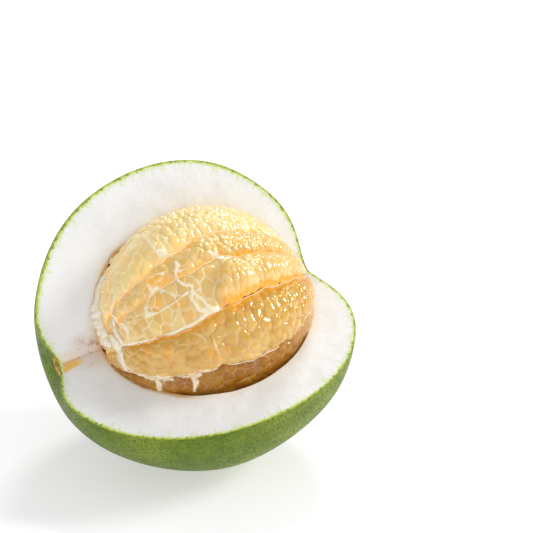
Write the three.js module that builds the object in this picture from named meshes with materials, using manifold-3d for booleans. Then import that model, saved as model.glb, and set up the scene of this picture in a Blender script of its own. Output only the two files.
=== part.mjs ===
// A pomelo with a wedge of rind cut out of it and the peeled flesh left whole inside.
// Millimetres, +Z up. The flat spot the fruit rests on lies on z = 0, centred on the origin.
// +X runs from the stem end to the blossom end, and the cut opens towards -Y and up.
import * as THREE from 'three';
import Module from 'manifold-3d';

const wasm = await Module();
wasm.setup();

// Whole fruit: its core line, measured from the centre of the fruit.
const centreHeight = 72.65;
const centreShift = { x: -0.3, y: -7.1 };
const coreTilt = 12.5;
const equatorRadius = 75;
const stemHalfLength = 75.6;
const blossomHalfLength = 68.4;
const stemSquareness = 2.0;
const blossomSquareness = 2.18;
const stemDimple = { depth: 8.8, width: 0.2 };
const blossomDimple = { depth: 8.0, width: 0.32 };
const stemShoulder = { rise: 7.7, angle: 78 };
const blossomShoulder = { rise: 12.7, angle: 116 };
const ovalness = { rise: 4.0, angle: 53 };

// Gentle swellings and hollows of the fruit: where, from the blossom end and round the core.
const fruitSwells = [
  { theta: 92, psi: 148, rise: 1.85, spread: 22 },
  { theta: 124, psi: 335, rise: 1.1, spread: 22 },
  { theta: 160, psi: 258, rise: 1.3, spread: 28 },
  { theta: 150, psi: 320, rise: -1.0, spread: 20 },
  { theta: 132, psi: 160, rise: -0.7, spread: 22 },
];

// Rind: green skin over white pith, and the wedge of it that is cut away.
const skinThickness = 2.0;
const skinGap = 0.3;
const cutStart = -18.3;
const cutEnd = 112.9;
const cutReach = 300;
const groundDepth = 40;
const groundHalfWidth = 150;
const rindRows = 26;
const rindColumns = 40;

// Flesh: an almost round ball that sits nearer the blossom end.
const fleshCentre = { along: 4.4, up: -2.6, out: 1.3 };
const fleshHalfLength = 50.9;
const fleshRadius = 49.9;
const fleshClearance = 0.5;
const cavityRows = 18;
const cavityColumns = 28;

// Segments: the seams' places round the core and what shows of each segment.
// Swell is how far a segment's back stands out in its blossom half and in its stem half.
const exposedSegments = [
  { from: -20, to: 16.8, across: 20, rise: 0, relief: 1.3, swell: { blossom: 0.8, stem: 0 } },
  { from: 16.8, to: 35, across: 11, rise: 0, relief: 1.3, swell: { blossom: 0, stem: -1.6 } },
  { from: 35, to: 64.1, across: 14, rise: 0, relief: 1.5, swell: { blossom: 2.2, stem: -1.6 } },
  { from: 64.1, to: 95.6, across: 17, rise: 1.2, relief: 1.8, swell: { blossom: 1.0, stem: 0.4 } },
  { from: 95.6, to: 124, across: 14, rise: -4.0, relief: 1.5, swell: { blossom: 0, stem: 0 } },
];
const swellTurn = 90;
const swellBlend = 9;
const noSwell = { blossom: 0, stem: 0 };
const exposedRows = 44;
const hiddenSegmentCount = 8;
const hiddenAcross = 5;
const hiddenRows = 9;
const sideSteps = 2;
const hiddenSideSteps = 2;
const seamDepth = 0.085;
const seamSharpness = 4;
const innerEdge = { least: 3, room: 0.45 };
const segmentTipRoom = 1.6;

// Juice sacs on the exposed segments: how uneven they are and how they fade at the seams.
const sacJitter = 0.5;
const sacPeak = { least: 0.75, spread: 0.25 };
const sacValleySpread = 0.15;
const sacFade = 8;

// Membranes between the exposed segments.
const septumThickness = 0.8;
const pieceGap = 0.3;
const septumInnerRadius = 4.5;
const septumTipRoom = 2.2;
const septumDrop = 3.0;
const septumWave = { height: 0.5, step: 1.9 };
const septumSteps = 26;

// Stem scar: the woody plug left where the stalk came off.
const scarRadius = 4.4;
const scarDepth = 4.0;
const scarRise = 0.7;
const scarGap = 0.3;
const scarSides = 14;
const scarLobes = { count: 5, depth: 0.16 };
const scarPocketRise = 6;

const rad = THREE.MathUtils.degToRad;
const tilt = rad(coreTilt);
const along = new THREE.Vector3(Math.cos(tilt), 0, Math.sin(tilt));
const upward = new THREE.Vector3(-Math.sin(tilt), 0, Math.cos(tilt));
const outward = new THREE.Vector3(0, -1, 0);
const centre = new THREE.Vector3(centreShift.x, centreShift.y, centreHeight);
const fleshMiddle = centre.clone()
  .addScaledVector(along, fleshCentre.along)
  .addScaledVector(upward, fleshCentre.up)
  .addScaledVector(outward, fleshCentre.out);

// A point u along the core line and v away from it, at an angle round it.
function corePoint(origin, u, v, angle, sideways = 0) {
  const across = v * Math.cos(angle) - sideways * Math.sin(angle);
  const ahead = v * Math.sin(angle) + sideways * Math.cos(angle);
  return origin.clone()
    .addScaledVector(along, u)
    .addScaledVector(upward, across)
    .addScaledVector(outward, ahead);
}

function bell(value, width) {
  return Math.exp(-((value / width) ** 2));
}

// Even, repeatable unevenness between 0 and 1.
function unevenness(a, b, c) {
  const wave = Math.sin(a * 12.9898 + b * 78.233 + c * 37.719) * 43758.5453;
  return wave - Math.floor(wave);
}

// Unit vector of a direction, told by its angle from the core line and its angle round it.
function wayOf(theta, psi) {
  const s = Math.sin(theta);
  return new THREE.Vector3(Math.cos(theta), s * Math.cos(psi), s * Math.sin(psi));
}

function swellsAt(theta, psi) {
  const way = wayOf(theta, psi);
  return fruitSwells.reduce((sum, swell) => {
    const apart = way.angleTo(wayOf(rad(swell.theta), rad(swell.psi)));
    return sum + swell.rise * bell(apart, rad(swell.spread));
  }, 0);
}

// Radius of the fruit: theta runs from the blossom end to the stem end, psi round the core.
function fruitRadius(theta, psi) {
  const c = Math.cos(theta);
  const s = Math.sin(theta);
  const half = c > 0 ? blossomHalfLength : stemHalfLength;
  const power = c > 0 ? blossomSquareness : stemSquareness;
  const round = (Math.abs(c / half) ** power + Math.abs(s / equatorRadius) ** power) ** (-1 / power);
  const dimples = stemDimple.depth * bell(Math.PI - theta, stemDimple.width)
    + blossomDimple.depth * bell(theta, blossomDimple.width);
  const stemPart = s * Math.max(-c, 0) ** 2;
  const blossomPart = s * Math.max(c, 0) ** 2;
  const shoulders = stemShoulder.rise * Math.cos(psi - rad(stemShoulder.angle)) * stemPart
    + blossomShoulder.rise * Math.cos(psi - rad(blossomShoulder.angle)) * blossomPart;
  const oval = ovalness.rise * Math.cos(2 * (psi - rad(ovalness.angle))) * s * s;
  return round - dimples + shoulders + oval + swellsAt(theta, psi);
}

function fleshProfile(theta, extra) {
  const c = Math.cos(theta) / (fleshHalfLength + extra);
  const s = Math.sin(theta) / (fleshRadius + extra);
  return 1 / Math.hypot(c, s);
}

function solidFrom(positions, triangles) {
  const mesh = new wasm.Mesh({
    numProp: 3,
    vertProperties: new Float32Array(positions.flatMap((p) => [p.x, p.y, p.z])),
    triVerts: new Uint32Array(triangles.flat()),
  });
  return new wasm.Manifold(mesh);
}

// A closed round body from a radius that depends on the two angles.
function roundBody(origin, rows, columns, radiusAt) {
  const points = [corePoint(origin, radiusAt(0, 0), 0, 0)];
  const triangles = [];
  for (let i = 1; i < rows; i += 1) {
    const theta = (Math.PI * i) / rows;
    for (let j = 0; j < columns; j += 1) {
      const psi = (2 * Math.PI * (j + 0.5 * (i % 2))) / columns;
      const r = radiusAt(theta, psi);
      points.push(corePoint(origin, r * Math.cos(theta), r * Math.sin(theta), psi));
    }
  }
  points.push(corePoint(origin, -radiusAt(Math.PI, 0), 0, 0));
  const last = points.length - 1;
  const ring = (i, j) => 1 + (i - 1) * columns + ((j + columns) % columns);
  for (let j = 0; j < columns; j += 1) {
    triangles.push([0, ring(1, j), ring(1, j + 1)]);
    triangles.push([last, ring(rows - 1, j + 1), ring(rows - 1, j)]);
  }
  addStaggeredBands(triangles, 1, rows - 1, columns, ring);
  return solidFrom(points, triangles);
}

// Joins rings whose points are set half a step round on every other ring.
function addStaggeredBands(triangles, first, last, columns, ring) {
  for (let i = first; i < last; i += 1) {
    const shifted = i % 2 === 1;
    for (let j = 0; j < columns; j += 1) {
      if (shifted) {
        triangles.push([ring(i, j), ring(i + 1, j + 1), ring(i, j + 1)]);
        triangles.push([ring(i, j), ring(i + 1, j), ring(i + 1, j + 1)]);
      } else {
        triangles.push([ring(i, j), ring(i + 1, j), ring(i, j + 1)]);
        triangles.push([ring(i, j + 1), ring(i + 1, j), ring(i + 1, j + 1)]);
      }
    }
  }
}

// The cut-away wedge, with its edge on the core line.
function cutWedge() {
  const points = [];
  for (const u of [-cutReach, cutReach]) {
    points.push(corePoint(centre, u, 0, 0));
    points.push(corePoint(centre, u, cutReach, rad(cutStart)));
    points.push(corePoint(centre, u, cutReach, rad(cutEnd)));
  }
  return solidFrom(points, [
    [0, 2, 1], [3, 4, 5],
    [0, 1, 4], [0, 4, 3],
    [1, 2, 5], [1, 5, 4],
    [2, 0, 3], [2, 3, 5],
  ]);
}

function boxSolid(low, high) {
  const points = [];
  for (const z of [low.z, high.z]) {
    points.push(new THREE.Vector3(low.x, low.y, z), new THREE.Vector3(high.x, low.y, z));
    points.push(new THREE.Vector3(high.x, high.y, z), new THREE.Vector3(low.x, high.y, z));
  }
  return solidFrom(points, [
    [0, 2, 1], [0, 3, 2], [4, 5, 6], [4, 6, 7],
    [0, 1, 5], [0, 5, 4], [1, 2, 6], [1, 6, 5],
    [2, 3, 7], [2, 7, 6], [3, 0, 4], [3, 4, 7],
  ]);
}

// A plug about the core line at the stem end, between two depths.
function stemPlug(radius, deep, proud) {
  const top = -fruitRadius(Math.PI, 0);
  const points = [];
  for (const u of [top + deep, top - proud]) {
    for (let k = 0; k < scarSides; k += 1) {
      const angle = (2 * Math.PI * k) / scarSides;
      const uneven = 1 + scarLobes.depth * Math.sin(scarLobes.count * angle);
      points.push(corePoint(centre, u, radius * uneven, angle));
    }
    points.push(corePoint(centre, u, 0, 0));
  }
  const far = scarSides + 1;
  const triangles = [];
  for (let k = 0; k < scarSides; k += 1) {
    const next = (k + 1) % scarSides;
    triangles.push([scarSides, k, next]);
    triangles.push([far + scarSides, far + next, far + k]);
    triangles.push([k, far + k, far + next]);
    triangles.push([k, far + next, next]);
  }
  return solidFrom(points, triangles);
}

// One segment: rings round its cross-section, from the blossom end to the stem end.
function segmentBody(shape) {
  const halfWidth = rad((shape.to - shape.from) / 2);
  const span = {
    middle: rad((shape.from + shape.to) / 2),
    halfWidth,
    innerRadius: Math.max(innerEdge.least, (shape.gap / 2 + innerEdge.room) / Math.sin(halfWidth)),
  };
  const loop = shape.across + 2 * shape.sideSteps;
  const endAngle = Math.asin((span.innerRadius + segmentTipRoom) / fleshRadius);
  const points = [];
  for (let i = 0; i < shape.rows; i += 1) {
    for (let j = 0; j < loop; j += 1) {
      const place = j + 0.5 * (i % 2);
      const inside = i > 0 && i < shape.rows - 1 && place > 1 && place < shape.across - 1;
      const jitter = inside && shape.relief > 0 ? sacJitter : 0;
      const q = place + jitter * (unevenness(i, j, shape.from) - 0.5);
      const row = i + jitter * (unevenness(j, i, shape.to) - 0.5);
      const theta = endAngle + ((Math.PI - 2 * endAngle) * row) / (shape.rows - 1);
      points.push(segmentPoint(shape, span, theta, q, sacHeight(i, j, shape.from)));
    }
  }
  const ring = (i, j) => i * loop + ((j + loop) % loop);
  const triangles = [];
  addStaggeredBands(triangles, 0, shape.rows - 1, loop, ring);
  for (const end of [0, shape.rows - 1]) {
    const cap = new THREE.Vector3();
    for (let j = 0; j < loop; j += 1) {
      cap.add(points[ring(end, j)]);
    }
    points.push(cap.divideScalar(loop));
    const tip = points.length - 1;
    for (let j = 0; j < loop; j += 1) {
      const pair = end === 0 ? [ring(end, j), ring(end, j + 1)] : [ring(end, j + 1), ring(end, j)];
      triangles.push([tip, ...pair]);
    }
  }
  return solidFrom(points, triangles);
}

// A point of a segment's cross-section: q runs over the back, down one side and up the other.
function segmentPoint(shape, span, theta, q, height) {
  const reach = fleshProfile(theta, 0);
  const u = reach * Math.cos(theta);
  const plain = reach * Math.sin(theta);
  const fullness = (plain / fleshRadius) ** 2;
  const v = plain + shape.rise * fullness;
  const corner = v * (1 - seamDepth);
  if (q <= shape.across) {
    const t = -1 + (2 * q) / shape.across;
    const cornerAngle = span.halfWidth - Math.asin(shape.gap / 2 / corner);
    const fade = 1 - Math.abs(t) ** sacFade;
    const depth = shape.relief * Math.sqrt(fullness) * (1 - height) * fade;
    const bulge = segmentSwell(shape, theta) * fullness * (1 - t * t);
    const r = v * (1 - seamDepth * Math.abs(t) ** seamSharpness) + bulge - depth;
    return corePoint(fleshMiddle, u, r, span.middle + t * cornerAngle);
  }
  const s = (q - shape.across) / shape.sideSteps;
  const inwards = s <= 1 ? s : 2 - s;
  if (inwards >= 1) {
    return corePoint(fleshMiddle, u, span.innerRadius, span.middle);
  }
  const side = s <= 1 ? 1 : -1;
  const radial = corner + (span.innerRadius - corner) * inwards;
  const angle = span.middle + side * span.halfWidth;
  return corePoint(fleshMiddle, u, radial, angle, (-side * shape.gap) / 2);
}

// How far a segment's back stands out at a place along it.
function segmentSwell(shape, theta) {
  const { blossom, stem } = shape.swell;
  const share = 0.5 + 0.5 * Math.tanh((THREE.MathUtils.radToDeg(theta) - swellTurn) / swellBlend);
  return blossom + (stem - blossom) * share;
}

// Height of the juice sacs: each peak has low points all round it.
function sacHeight(i, j, seed) {
  const a = j - Math.floor(i / 2);
  const peak = (((a - i) % 3) + 3) % 3 === 0;
  if (peak) {
    return sacPeak.least + sacPeak.spread * unevenness(i, j, seed + 5);
  }
  return sacValleySpread * unevenness(i, j, seed + 9);
}

// A thin wall between two segments, standing a little out of the seam.
function septumBody(angle) {
  const endAngle = Math.asin((septumInnerRadius + septumTipRoom) / fleshRadius);
  const points = [];
  const triangles = [];
  for (let k = 0; k <= septumSteps; k += 1) {
    const theta = endAngle + ((Math.PI - 2 * endAngle) * k) / septumSteps;
    const reach = fleshProfile(theta, 0);
    const wave = septumWave.height * Math.sin(k * septumWave.step + angle) * Math.sin(theta);
    const v = reach * Math.sin(theta) * (1 - septumDrop / fleshRadius) + wave;
    const u = reach * Math.cos(theta);
    for (const side of [-1, 1]) {
      const shift = (side * septumThickness) / 2;
      points.push(corePoint(fleshMiddle, u, septumInnerRadius, rad(angle), shift));
      points.push(corePoint(fleshMiddle, u, v, rad(angle), shift));
    }
  }
  const at = (k, n) => 4 * k + n;
  for (let k = 0; k < septumSteps; k += 1) {
    triangles.push([at(k, 0), at(k + 1, 1), at(k, 1)], [at(k, 0), at(k + 1, 0), at(k + 1, 1)]);
    triangles.push([at(k, 2), at(k, 3), at(k + 1, 3)], [at(k, 2), at(k + 1, 3), at(k + 1, 2)]);
    triangles.push([at(k, 1), at(k + 1, 3), at(k, 3)], [at(k, 1), at(k + 1, 1), at(k + 1, 3)]);
    triangles.push([at(k, 0), at(k, 2), at(k + 1, 2)], [at(k, 0), at(k + 1, 2), at(k + 1, 0)]);
  }
  triangles.push([at(0, 0), at(0, 3), at(0, 2)], [at(0, 0), at(0, 1), at(0, 3)]);
  const end = septumSteps;
  triangles.push([at(end, 0), at(end, 2), at(end, 3)], [at(end, 0), at(end, 3), at(end, 1)]);
  return solidFrom(points, triangles);
}

function material(color, roughness) {
  return new THREE.MeshStandardMaterial({ color, roughness, metalness: 0 });
}

const pomelo = new THREE.Group();
pomelo.name = 'pomelo';

function addPiece(name, solid, look) {
  const made = solid.getMesh();
  const geometry = new THREE.BufferGeometry();
  geometry.setAttribute('position', new THREE.BufferAttribute(made.vertProperties, 3));
  geometry.setIndex(new THREE.BufferAttribute(made.triVerts, 1));
  geometry.computeVertexNormals();
  const mesh = new THREE.Mesh(geometry, look);
  mesh.name = name;
  pomelo.add(mesh);
}

const skinLook = material(0x6f9440, 0.5);
const pithLook = material(0xf1eee3, 0.85);
const fleshLook = material(0xeebf66, 0.3);
const deepFleshLook = material(0xc9822e, 0.3);
const septumLook = material(0xf4ead2, 0.6);
const scarLook = material(0xb8772f, 0.9);

const wedge = cutWedge();
const ground = boxSolid(
  new THREE.Vector3(-groundHalfWidth, -groundHalfWidth, -groundDepth),
  new THREE.Vector3(groundHalfWidth, groundHalfWidth, 0),
);
const rindShape = (inset) => (theta, psi) => fruitRadius(theta, psi) - inset;
const outerBody = roundBody(centre, rindRows, rindColumns, rindShape(0));
const underSkin = roundBody(centre, rindRows, rindColumns, rindShape(skinThickness));
const pithOutside = roundBody(centre, rindRows, rindColumns, rindShape(skinThickness + skinGap));
const cavityShape = (theta) => fleshProfile(theta, fleshClearance);
const cavity = roundBody(fleshMiddle, cavityRows, cavityColumns, cavityShape);
const scarPocket = stemPlug(scarRadius + scarGap, scarDepth + scarGap, scarPocketRise);

const skin = outerBody.subtract(underSkin).subtract(wedge).subtract(ground).subtract(scarPocket);
const pith = pithOutside.subtract(cavity).subtract(wedge).subtract(ground).subtract(scarPocket);
addPiece('skin', skin, skinLook);
addPiece('pith', pith, pithLook);
addPiece('stem_scar', stemPlug(scarRadius, scarDepth, scarRise).subtract(wedge), scarLook);

const septumGap = septumThickness + 2 * pieceGap;
const nameOf = (number) => `segment_${String(number).padStart(2, '0')}`;
exposedSegments.forEach((segment, index) => {
  const shape = { ...segment, rows: exposedRows, sideSteps, gap: septumGap };
  addPiece(nameOf(index + 1), segmentBody(shape), segment.rise < 0 ? deepFleshLook : fleshLook);
  if (index > 0) {
    addPiece(`septum_${index}`, septumBody(segment.from), septumLook);
  }
});

const hiddenStart = exposedSegments[exposedSegments.length - 1].to;
const hiddenWidth = (exposedSegments[0].from + 360 - hiddenStart) / hiddenSegmentCount;
for (let k = 0; k < hiddenSegmentCount; k += 1) {
  const from = hiddenStart + k * hiddenWidth;
  const shape = {
    from,
    to: from + hiddenWidth,
    across: hiddenAcross,
    rise: 0,
    relief: 0,
    swell: noSwell,
    rows: hiddenRows,
    sideSteps: hiddenSideSteps,
    gap: septumGap,
  };
  addPiece(nameOf(exposedSegments.length + 1 + k), segmentBody(shape), fleshLook);
}

export default pomelo;
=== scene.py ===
import math
import random

import bmesh
import bpy
import numpy as np
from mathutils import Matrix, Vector, noise


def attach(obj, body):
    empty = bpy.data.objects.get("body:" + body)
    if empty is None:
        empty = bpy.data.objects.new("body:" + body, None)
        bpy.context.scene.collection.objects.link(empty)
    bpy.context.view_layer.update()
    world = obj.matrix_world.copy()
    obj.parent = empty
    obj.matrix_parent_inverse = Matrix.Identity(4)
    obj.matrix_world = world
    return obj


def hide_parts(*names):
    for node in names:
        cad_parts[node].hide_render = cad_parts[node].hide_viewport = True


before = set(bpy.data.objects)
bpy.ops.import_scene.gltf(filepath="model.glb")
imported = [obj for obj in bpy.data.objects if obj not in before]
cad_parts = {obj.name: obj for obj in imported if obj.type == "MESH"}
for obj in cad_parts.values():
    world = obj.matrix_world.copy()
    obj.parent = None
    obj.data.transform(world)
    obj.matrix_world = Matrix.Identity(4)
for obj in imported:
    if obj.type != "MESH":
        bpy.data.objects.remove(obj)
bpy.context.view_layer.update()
print("frame loaded")

mm = 0.001

# whole fruit, in millimetres and degrees; the core line runs from the stem end to the blossom end
fruit = {
    "middle": (-0.3, -7.1, 72.65),
    "coreTilt": 12.5,
    "equatorRadius": 75.0,
    "stemHalf": 75.6,
    "blossomHalf": 68.4,
    "stemPower": 2.0,
    "blossomPower": 2.18,
    "stemDimple": (8.8, 0.2),
    "blossomDimple": (8.0, 0.32),
    "stemShoulder": (7.7, 78.0),
    "blossomShoulder": (12.7, 116.0),
    "oval": (4.0, 53.0),
    "swells": [(92, 148, 1.85, 22), (124, 335, 1.1, 22), (160, 258, 1.3, 28), (150, 320, -1.0, 20),
               (132, 160, -0.7, 22)],
    "cutStart": -18.3,
    "cutEnd": 112.9,
    "skin": 2.0,
    "fleshAlong": 4.4,
    "fleshUp": -2.6,
    "fleshOut": 1.3,
    "fleshHalf": 50.9,
    "fleshRadius": 49.9,
}

tilt = math.radians(fruit["coreTilt"])
coreAlong = np.array([math.cos(tilt), 0.0, math.sin(tilt)])
coreUp = np.array([-math.sin(tilt), 0.0, math.cos(tilt)])
coreOut = np.array([0.0, -1.0, 0.0])
fruitMiddle = np.array(fruit["middle"])
fleshMiddle = (fruitMiddle + fruit["fleshAlong"] * coreAlong
               + fruit["fleshUp"] * coreUp + fruit["fleshOut"] * coreOut)


def radialWay(psi):
    # out from the core line; 0 is up and 90 degrees is towards the open side
    psi = np.asarray(psi)[..., None]
    return np.cos(psi) * coreUp + np.sin(psi) * coreOut


def coreDirection(theta, psi):
    return np.cos(theta)[..., None] * coreAlong + np.sin(theta)[..., None] * radialWay(psi)


def bell(value, width):
    return np.exp(-((value / width) ** 2))


def fruitRadius(theta, psi):
    c, s = np.cos(theta), np.sin(theta)
    half = np.where(c > 0, fruit["blossomHalf"], fruit["stemHalf"])
    power = np.where(c > 0, fruit["blossomPower"], fruit["stemPower"])
    base = (np.abs(c / half) ** power + np.abs(s / fruit["equatorRadius"]) ** power) ** (-1 / power)
    base = base - fruit["stemDimple"][0] * bell(np.pi - theta, fruit["stemDimple"][1])
    base = base - fruit["blossomDimple"][0] * bell(theta, fruit["blossomDimple"][1])
    for side, (rise, turn) in ((-c, fruit["stemShoulder"]), (c, fruit["blossomShoulder"])):
        base = base + rise * np.cos(psi - np.radians(turn)) * (s * np.clip(side, 0, None) ** 2)
    for where, turn, rise, spread in fruit["swells"]:
        a, b = math.radians(where), math.radians(turn)
        near = np.clip(c * math.cos(a) + s * math.sin(a) * np.cos(psi - b), -1, 1)
        base = base + rise * bell(np.degrees(np.arccos(near)), spread)
    return base + fruit["oval"][0] * np.cos(2 * (psi - np.radians(fruit["oval"][1]))) * s * s


def fleshReach(theta):
    return 1 / np.hypot(np.cos(theta) / fruit["fleshHalf"], np.sin(theta) / fruit["fleshRadius"])


def cavityRadius(theta, psi, extra):
    # distance from the fruit's middle to the flesh ball, along each direction
    way = coreDirection(theta, psi)
    offset = fleshMiddle - fruitMiddle
    half, radius = fruit["fleshHalf"] + extra, fruit["fleshRadius"] + extra
    axes = np.stack([way @ coreAlong / half, way @ coreUp / radius, way @ coreOut / radius], -1)
    start = -np.stack([offset @ coreAlong / half, offset @ coreUp / radius, offset @ coreOut / radius], -1)
    a = (axes ** 2).sum(-1)
    b = (axes * start).sum(-1)
    c = (start ** 2).sum(-1) - 1
    return (-b + np.sqrt(b * b - a * c)) / a


def smoothStep(low, high, value):
    x = np.clip((value - low) / (high - low), 0, 1)
    return x * x * (3 - 2 * x)


def cloud(points, scale, seed=0.0):
    # soft noise between -1 and 1 at each point, for shapes
    shift = Vector((seed * 7.3, seed * 3.1, seed * 5.7))
    flat = points.reshape(-1, 3) / scale
    values = [noise.noise(Vector(p) + shift) for p in flat]
    return np.array(values).reshape(points.shape[:-1])


class Wire:
    # one socket of a material; sums and products of wires add Math nodes
    def __init__(self, finish, socket):
        self.finish = finish
        self.socket = socket

    def calc(self, operation, *others):
        return self.finish.add("ShaderNodeMath", {"operation": operation}, dict(enumerate((self, *others))))

    def __add__(self, other):
        return self.calc("ADD", other)

    def __sub__(self, other):
        return self.calc("SUBTRACT", other)

    def __mul__(self, other):
        return self.calc("MULTIPLY", other)

    def __truediv__(self, other):
        return self.calc("DIVIDE", other)

    def swapped(self, operation, other):
        return self.finish.add("ShaderNodeMath", {"operation": operation}, {0: other, 1: self})

    def __rsub__(self, other):
        return self.swapped("SUBTRACT", other)

    def __rtruediv__(self, other):
        return self.swapped("DIVIDE", other)

    __radd__ = __add__
    __rmul__ = __mul__

    def clamp(self):
        return self.finish.add("ShaderNodeClamp", {}, {"Value": self})

    def between(self, low, high):
        return self.finish.add("ShaderNodeMapRange", {"interpolation_type": "SMOOTHSTEP"},
                               {"Value": self, "From Min": low, "From Max": high})


class Finish:
    # one material, made of nodes added by name
    def __init__(self, name, **fixed):
        self.material = bpy.data.materials.new(name)
        self.material.use_nodes = True
        self.material.cycles.emission_sampling = "NONE"  # a faint glow that lights nothing else
        self.nodes = self.material.node_tree.nodes
        self.links = self.material.node_tree.links
        self.shader = self.nodes["Principled BSDF"]
        self.coordinates = None
        for label, value in fixed.items():
            if label.endswith("Color"):
                value = (*value, 1.0)
            self.shader.inputs[label.replace("_", " ")].default_value = value

    def add(self, kind, settings=None, values=None, out=0):
        node = self.nodes.new(kind)
        for key, value in (settings or {}).items():
            setattr(node, key, value)
        for key, value in (values or {}).items():
            if isinstance(value, Wire):
                self.links.new(value.socket, node.inputs[key])
            else:
                node.inputs[key].default_value = value
        return Wire(self, node.outputs[out])

    def place(self):
        if self.coordinates is None:
            self.coordinates = self.add("ShaderNodeTexCoord", out="Object")
        return self.coordinates

    def attribute(self, name):
        return self.add("ShaderNodeAttribute", {"attribute_name": name}, out="Fac")

    def noise(self, scale, detail=3.0, rough=0.55, where=None):
        return self.add("ShaderNodeTexNoise", {}, {"Vector": where or self.place(), "Scale": scale,
                                                   "Detail": detail, "Roughness": rough})

    def cells(self, scale):
        return self.add("ShaderNodeTexVoronoi", {}, {"Vector": self.place(), "Scale": scale}, "Distance")

    def blend(self, share, first, second):
        # colours only: a Mix node's sixth and seventh inputs are its colours
        def tint(value):
            return value if isinstance(value, Wire) else (*value, 1.0)
        return self.add("ShaderNodeMix", {"data_type": "RGBA"},
                        {0: share, 6: tint(first), 7: tint(second)}, 2)

    def along(self, run, across):
        # coordinates that follow the piece instead of its box
        return self.add("ShaderNodeCombineXYZ", {}, {"X": run, "Y": across})

    def bump(self, height, distance, strength=1.0, under=None):
        values = {"Height": height, "Distance": distance, "Strength": strength}
        if under is not None:
            values["Normal"] = under
        return self.add("ShaderNodeBump", {}, values)

    def set(self, **wires):
        for label, wire in wires.items():
            self.links.new(wire.socket, self.shader.inputs[label.replace("_", " ")])
        return self.material


def showObject(name, data):
    thing = bpy.data.objects.new(name, data)
    bpy.context.scene.collection.objects.link(thing)
    return thing


def meshFrom(name, points, faces, sharpAngle=None):
    mesh = bpy.data.meshes.new(name)
    mesh.from_pydata([tuple(p) for p in np.asarray(points) * mm], [], faces)
    mesh.update()
    mesh.shade_smooth()
    if sharpAngle:
        mesh.set_sharp_from_angle(angle=math.radians(sharpAngle))
    return showObject(name, mesh)


def turnOut(piece, weld=0.0):
    # faces outward, with points nearer than the weld joined
    shape = bmesh.new()
    shape.from_mesh(piece.data)
    if weld:
        bmesh.ops.remove_doubles(shape, verts=shape.verts, dist=weld * mm)
    bmesh.ops.recalc_face_normals(shape, faces=shape.faces)
    shape.to_mesh(piece.data)
    shape.free()


def tubeFaces(rows, count, start=0):
    # closed rings of points in order from the given one, then one point for each end
    faces, first = [], start + rows * count
    for i in range(rows - 1):
        for j in range(count):
            a, b = start + i * count + j, start + i * count + (j + 1) % count
            faces.append((a, a + count, b + count, b))
    for j in range(count):
        k = (j + 1) % count
        faces += [(first, start + j, start + k), (first + 1, first - count + k, first - count + j)]
    return faces


def slabFaces(rows, columns, ends):
    # two sheets over the same grid, closed along both sides and at the given end rows
    faces, half = [], rows * columns
    for i in range(rows - 1):
        for k in range(columns):
            a = i * columns + k
            b = a + columns
            if k < columns - 1:
                faces += [(a, b, b + 1, a + 1), (half + a, half + a + 1, half + b + 1, half + b)]
            if k == 0:
                faces.append((a, half + a, half + b, b))
            if k == columns - 1:
                faces.append((a, b, half + b, half + a))
    for i in ends:
        for k in range(columns - 1):
            a = i * columns + k
            faces.append((a, half + a, half + a + 1, a + 1) if i else (a, a + 1, half + a + 1, half + a))
    return faces


def storeValues(mesh, **layers):
    for name, values in layers.items():
        layer = mesh.attributes.new(name, "FLOAT", "POINT")
        layer.data.foreach_set("value", np.asarray(values, float).ravel())


def finishPiece(piece, slot, nodes, *materials):
    piece.data.materials.clear()
    for material in materials:
        piece.data.materials.append(material)
    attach(piece, "root")
    if nodes:
        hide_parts(*nodes)


def wedgeShell(name, innerRadius, outerRadius, steps, shapeCut):
    # closed solid between two radii, from one cut round the back to the other
    thetas = np.linspace(0, np.pi, steps["ends"] + 1)
    psis = np.radians(np.linspace(fruit["cutEnd"], 360 + fruit["cutStart"], steps["around"] + 1))
    depth = np.linspace(0, 1, steps["deep"] + 1)
    index, faces, cutFaces = {}, [], []
    last, deep = steps["around"], steps["deep"]

    def quad(bag, *keys):
        # all points of a row meet at each end of the core line
        corners = []
        for i, j, k in keys:
            key = (i, 0 if i in (0, steps["ends"]) else j, k)
            value = index.setdefault(key, len(index))
            if value not in corners:
                corners.append(value)
        if len(corners) > 2:
            bag.append(tuple(corners))

    for i in range(steps["ends"]):
        for j in range(last):
            quad(faces, (i, j, deep), (i + 1, j, deep), (i + 1, j + 1, deep), (i, j + 1, deep))
            quad(faces, (i, j, 0), (i, j + 1, 0), (i + 1, j + 1, 0), (i + 1, j, 0))
        for k in range(deep):
            quad(cutFaces, (i, 0, k), (i + 1, 0, k), (i + 1, 0, k + 1), (i, 0, k + 1))
            quad(cutFaces, (i, last, k), (i, last, k + 1), (i + 1, last, k + 1), (i + 1, last, k))
    keys = np.array(list(index))
    theta, psi, share = thetas[keys[:, 0]], psis[keys[:, 1]], depth[keys[:, 2]]
    low, high = innerRadius(theta, psi), outerRadius(theta, psi)
    radius = low + (high - low) * share
    flat = fruitMiddle + radius[:, None] * coreDirection(theta, psi)
    onCut = (keys[:, 1] == 0) | (keys[:, 1] == last)
    flat = shapeCut(flat, theta, psi, radius, high, onCut)
    piece = meshFrom(name, flat, faces + cutFaces, sharpAngle=40)
    storeValues(piece.data, depth=fruitRadius(theta, psi) - radius, inside=radius - low, run=theta)
    kinds = np.array([0] * len(faces) + [1] * len(cutFaces), np.int32)
    return piece, kinds


shot = {
    "azimuth": 24.0,
    "elevation": 20.0,
    "distance": 900.0,
    "focalPixels": 1948.0,
    "fruitPixel": (193.0, 314.0),
    "frame": 533.0,
    "sensor": 36.0,
}


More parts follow.
